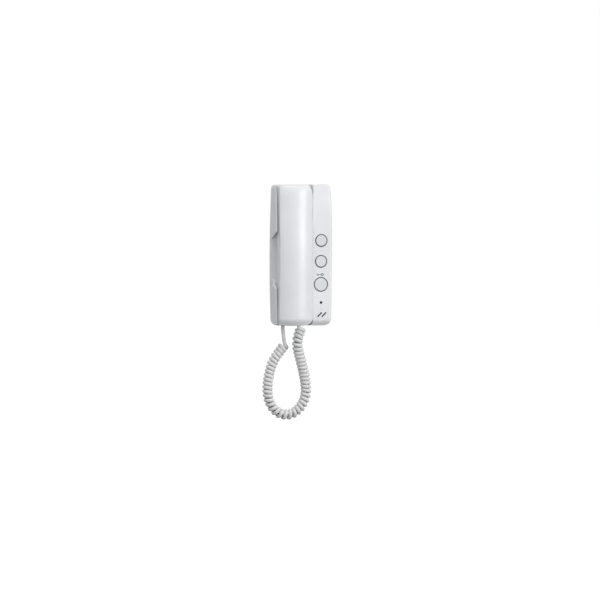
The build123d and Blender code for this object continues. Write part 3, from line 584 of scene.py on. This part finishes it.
lens_plastic, lens_tree, lens_surface = shader("dark lens plastic")
lens_surface.inputs["Base Color"].default_value = lens_red
lens_surface.inputs["Roughness"].default_value = lens_roughness
lens_surface.inputs["Specular IOR Level"].default_value = lens_gloss
ripple = object_noise(lens_tree, lens_ripple)
grain_bump(lens_tree, lens_surface, ripple, lens_ripple_depth, lens_ripple_strength)
finish_node("indicator_lens", lens_plastic)
lens_low, lens_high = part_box("indicator_lens")
lens_place = (lens_low[0] + lens_high[0]) / 2, (lens_low[2] + lens_high[2]) / 2
# The collar is painted shade round the lens.
collar = flat_ring(collar_outer, collar_inner, key_sides)
film_on_panel("indicator_collar", collar, *lens_place, gap_shade_rubber, "black_plastic")

# The hook lever: a natural white acetal arm whose nose stands out of the cradle behind the grip.
# It turns on a steel pin, and its tail works the hook switch.
acetal_white = (0.72, 0.71, 0.67, 1.0)
lever_plastic = moulded_plastic("natural acetal", acetal_white, roughness=0.3)
finish_node("hook_lever", lever_plastic)

# The handset: two shells of the same white ABS that meet in a line round its sides, closed by two
# screws from behind. The front shell is crowned and plain.
handset_white = (0.81, 0.82, 0.84, 1.0)
handset_plastic = moulded_plastic(
    "white handset plastic", handset_white, roughness=0.33, translucence=shell_translucence
)
for name in ("handset_front_shell", "handset_rear_shell"):
    finish_node(name, handset_plastic)

# The capsules behind the ear and mouth holes: drawn aluminium cans, the receiver in a foam ring
# and the microphone in a rubber boot, which keep the sound from leaking past them.
soft_black = (0.03, 0.03, 0.03, 1.0)
for name in ("receiver_capsule", "microphone_capsule"):
    finish_node(name, capsule_can)
soft_rubber = moulded_plastic(
    "black foam and rubber", soft_black, roughness=0.8, grain=1200.0, grain_depth=0.0002
)
for name in ("receiver_gasket", "microphone_boot"):
    finish_node(name, soft_rubber)

# The curly cord: a soft off-white PVC lead, wound into curls that lie almost against each other.
# It leaves the base's underside, hangs in a loop and goes up into the handset's foot.
cord_white = (0.76, 0.76, 0.752, 1.0)
cord_diameter = 0.0051
coil_radius = 0.0049
coil_swell = 0.00035
coil_turns = 44.0
points_per_turn = 16
cord_rings_per_point = 2
cord_bevel = 3
coil_line_steps = 12
lead_route = [
    (-0.0234, -0.0065, -0.0950),
    (-0.0234, -0.0065, -0.1005),
    (-0.0233, -0.0088, -0.1070),
    (-0.0232, -0.0125, -0.1178),
]
coil_route = [
    (-0.0222, -0.0089, -0.1217),
    (-0.0267, -0.0095, -0.1276),
    (-0.0344, -0.0103, -0.1366),
    (-0.0402, -0.0111, -0.1470),
    (-0.0439, -0.0118, -0.1584),
    (-0.0462, -0.0127, -0.1704),
    (-0.0471, -0.0134, -0.1828),
    (-0.0454, -0.0143, -0.1956),
    (-0.0396, -0.0150, -0.2068),
    (-0.0298, -0.0158, -0.2141),
    (-0.0178, -0.0165, -0.2157),
    (-0.0064, -0.0172, -0.2103),
    (0.0019, -0.0181, -0.1998),
    (0.0060, -0.0186, -0.1872),
    (0.0053, -0.0191, -0.1739),
    (0.0027, -0.0197, -0.1602),
    (-0.0007, -0.0203, -0.1466),
    (-0.0045, -0.0208, -0.1332),
    (-0.0077, -0.0211, -0.1210),
    (-0.0066, -0.0213, -0.1104),
    (-0.0024, -0.0214, -0.0995),
]
exit_route = [
    (-0.0051, -0.0266, -0.0991),
    (-0.0066, -0.0260, -0.0971),
    (-0.0066, -0.0260, -0.0951),
]


def smooth_spline(name, route, steps):
    """A curve with one smooth spline whose control points are the route's."""
    curve = bpy.data.curves.new(name, "CURVE")
    curve.dimensions = "3D"
    curve.resolution_u = steps
    spline = curve.splines.new("NURBS")
    spline.points.add(len(route) - 1)
    for point, place in zip(spline.points, route):
        point.co = (*place, 1.0)
    spline.order_u = 3
    spline.use_endpoint_u = True
    return curve


def points_on(curve):
    """The points that a curve without thickness runs through."""
    holder = bpy.data.objects.new(curve.name, curve)
    line = bpy.data.meshes.new_from_object(holder)
    points = [vertex.co.copy() for vertex in line.vertices]
    bpy.data.objects.remove(holder)
    bpy.data.meshes.remove(line)
    return points


def curls(line, radius, swell, turns):
    """Control points of the curls round a line: the turns open up where the line bends, so that
    they stay apart on the inside of the bend, and are a little wider over its second half.
    """
    headings = [(b - a).normalized() for a, b in zip(line, line[1:])]
    headings.append(headings[-1])
    steps = [(b - a).length for a, b in zip(line, line[1:])]
    reach = max(1, round(radius / (sum(steps) / len(steps))))
    shares = []
    for index, step in enumerate(steps):
        low, high = max(index - reach, 0), min(index + reach, len(steps))
        bend = headings[low].angle(headings[high]) / sum(steps[low:high])
        shares.append(step * (1.0 - radius * bend))
    turned = [0.0]
    for share in shares:
        turned.append(turned[-1] + share / sum(shares) * turns)
    places, at = [], 0
    for count in range(round(turns * points_per_turn) + 1):
        turn = count / points_per_turn
        while at < len(steps) - 1 and turned[at + 1] < turn:
            at += 1
        part = (turn - turned[at]) / (turned[at + 1] - turned[at])
        middle = line[at].lerp(line[at + 1], part)
        heading = headings[at].lerp(headings[at + 1], part).normalized()
        front = Vector((0.0, -1.0, 0.0))
        front = (front - heading * front.dot(heading)).normalized()
        side = front.cross(heading)
        angle = turn * math.tau
        wider = swell * math.sin(math.pi * min(max(turn / turns * 2.0 - 1.0, 0.0), 1.0))
        reach_out = front * math.cos(angle) + side * math.sin(angle)
        places.append(middle + reach_out * (radius + wider))
    return places


coil_line = points_on(smooth_spline("coil line", coil_route, coil_line_steps))
cord_route = lead_route + curls(coil_line, coil_radius, coil_swell, coil_turns) + exit_route
cord_path = points_on(smooth_spline("cord path", cord_route, cord_rings_per_point))
cord_curve = smooth_spline("cord tube", cord_route, cord_rings_per_point)
cord_curve.bevel_depth = cord_diameter / 2
cord_curve.bevel_resolution = cord_bevel
cord_curve.use_fill_caps = True
cord_holder = bpy.data.objects.new("cord tube", cord_curve)
cord_mesh = bpy.data.meshes.new_from_object(cord_holder)
bpy.data.objects.remove(cord_holder)
cord_mesh.name = "curly_cord_jacket"
cord_mesh.polygons.foreach_set("use_smooth", [True] * len(cord_mesh.polygons))
cord = bpy.data.objects.new("curly_cord_jacket", cord_mesh)
bpy.context.collection.objects.link(cord)
cord_pvc = moulded_plastic(
    "off-white cord PVC",
    cord_white,
    roughness=0.42,
    grain=1800.0,
    translucence=shell_translucence,
)
cord_mesh.materials.clear()
cord_mesh.materials.append(cord_pvc)
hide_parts("curly_cord")
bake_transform(cord)
finish_node("base_cord_bush", cord_pvc)
finish_node("handset_cord_bush", cord_pvc)

low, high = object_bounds()
